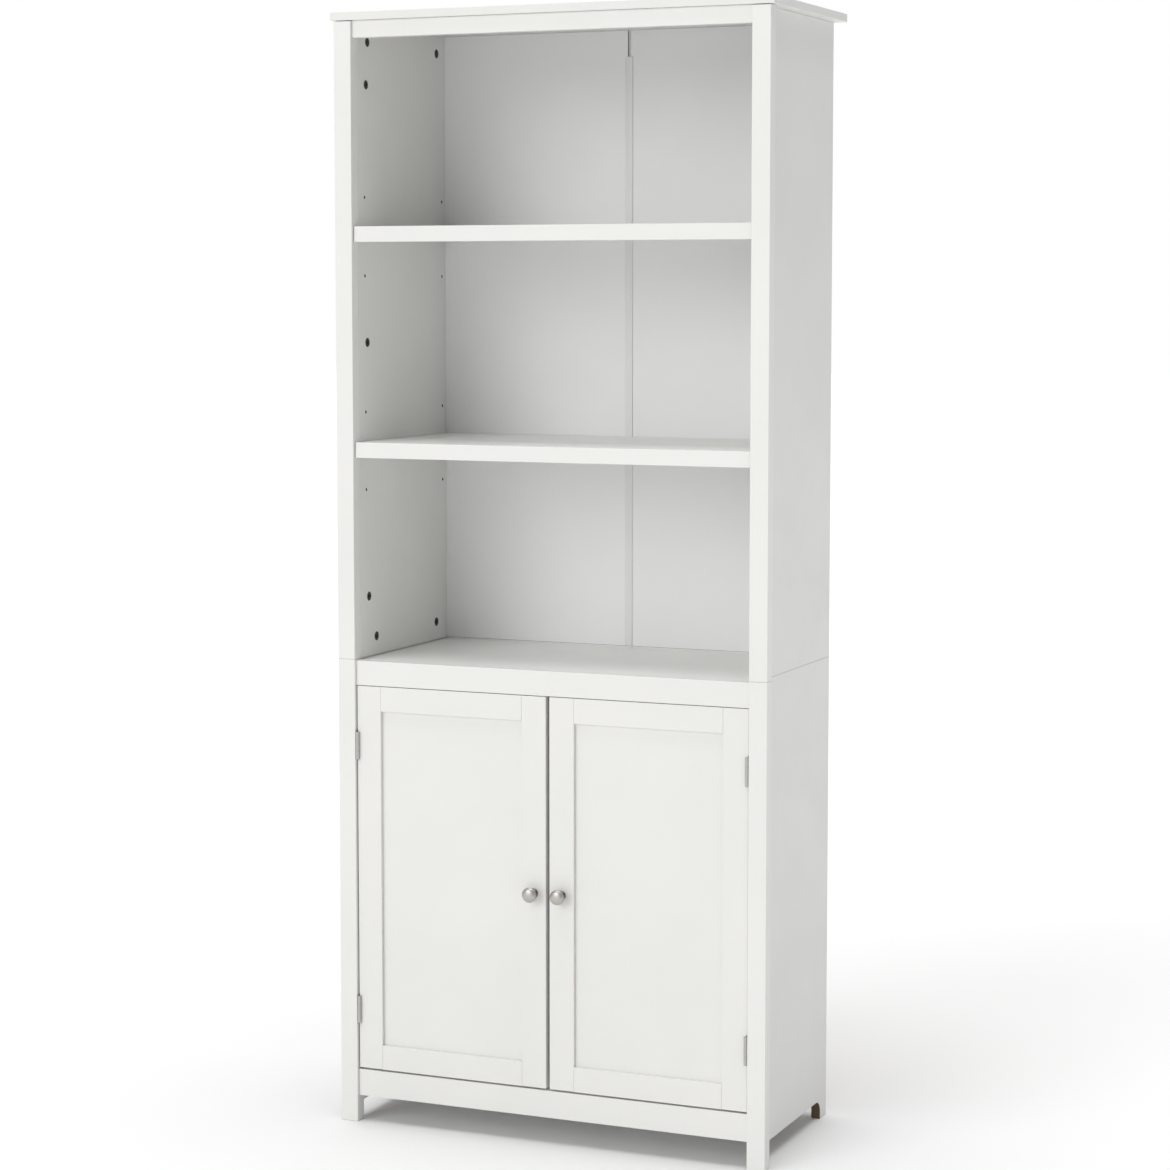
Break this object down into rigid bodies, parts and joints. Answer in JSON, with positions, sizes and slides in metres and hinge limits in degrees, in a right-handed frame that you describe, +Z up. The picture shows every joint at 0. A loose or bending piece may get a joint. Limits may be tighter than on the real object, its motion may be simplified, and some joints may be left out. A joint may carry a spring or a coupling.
{
  "type": "bookcase with cabinet doors",
  "caption": "Tall narrow white bookcase: open shelves above a cabinet with inset panelled doors, small round metal knobs and butt hinges, on legs formed by the front posts and the side panels.",
  "frame": {"origin": "on the floor, in the middle of the width and of the depth, the knobs included", "axes": "+Z up, +X to the right of a person who faces the doors, +Y from the front to the back"},
  "size_m": [0.75, 0.366, 1.8],
  "materials": {
    "painted_board": "satin white paint",
    "back_board": "smooth white face",
    "strip_plastic": "matt",
    "catch_plastic": "matt",
    "knob_nickel": "satin nickel",
    "hinge_steel": "nickel plated",
    "screw_steel": "zinc plated",
    "strike_steel": "zinc plated",
    "shelf_pin": "nickel plated"
  },
  "bodies": {
    "case": {"top_panel": "painted_board", "top_rail": "painted_board", "upper_shelf": "painted_board", "upper_shelf_lipping": "painted_board", "middle_shelf": "painted_board", "middle_shelf_lipping": "painted_board", "cabinet_top": "painted_board", "cabinet_rail": "painted_board", "cabinet_floor": "painted_board", "apron": "painted_board", "cabinet_shelf": "painted_board", "cabinet_back": "back_board", "back_joint_strip": "strip_plastic", "magnetic_catch": "catch_plastic", "upper_side_left": "painted_board", "upper_post_left": "painted_board", "lower_side_left": "painted_board", "lower_post_left": "painted_board", "upper_back_left": "back_board", "upper_shelf_pin_left_front": "shelf_pin", "upper_shelf_pin_left_back": "shelf_pin", "middle_shelf_pin_left_front": "shelf_pin", "middle_shelf_pin_left_back": "shelf_pin", "cabinet_shelf_pin_left_front": "shelf_pin", "cabinet_shelf_pin_left_back": "shelf_pin", "left_lower_hinge_post_leaf": "hinge_steel", "left_upper_hinge_post_leaf": "hinge_steel", "upper_side_right": "painted_board", "upper_post_right": "painted_board", "lower_side_right": "painted_board", "lower_post_right": "painted_board", "upper_back_right": "back_board", "upper_shelf_pin_right_front": "shelf_pin", "upper_shelf_pin_right_back": "shelf_pin", "middle_shelf_pin_right_front": "shelf_pin", "middle_shelf_pin_right_back": "shelf_pin", "cabinet_shelf_pin_right_front": "shelf_pin", "cabinet_shelf_pin_right_back": "shelf_pin", "right_lower_hinge_post_leaf": "hinge_steel", "right_upper_hinge_post_leaf": "hinge_steel"},
    "left_door": {"left_door_hinge_stile": "painted_board", "left_door_lock_stile": "painted_board", "left_door_bottom_rail": "painted_board", "left_door_top_rail": "painted_board", "left_door_panel": "painted_board", "left_knob": "knob_nickel", "left_knob_screw": "screw_steel", "left_strike_plate": "strike_steel", "left_lower_hinge_door_leaf": "hinge_steel", "left_upper_hinge_door_leaf": "hinge_steel"},
    "right_door": {"right_door_hinge_stile": "painted_board", "right_door_lock_stile": "painted_board", "right_door_bottom_rail": "painted_board", "right_door_top_rail": "painted_board", "right_door_panel": "painted_board", "right_knob": "knob_nickel", "right_knob_screw": "screw_steel", "right_strike_plate": "strike_steel", "right_lower_hinge_door_leaf": "hinge_steel", "right_upper_hinge_door_leaf": "hinge_steel"}
  },
  "joints": [
    {"name": "left_door_swing", "type": "hinge", "parent": "case", "child": "left_door", "pos_m": [-0.3359, -0.1622, 0.4045], "axis": [0, 0, -1], "range_deg": [0, 180]},
    {"name": "right_door_swing", "type": "hinge", "parent": "case", "child": "right_door", "pos_m": [0.3359, -0.1622, 0.4045], "axis": [0, 0, 1], "range_deg": [0, 180]}
  ]
}
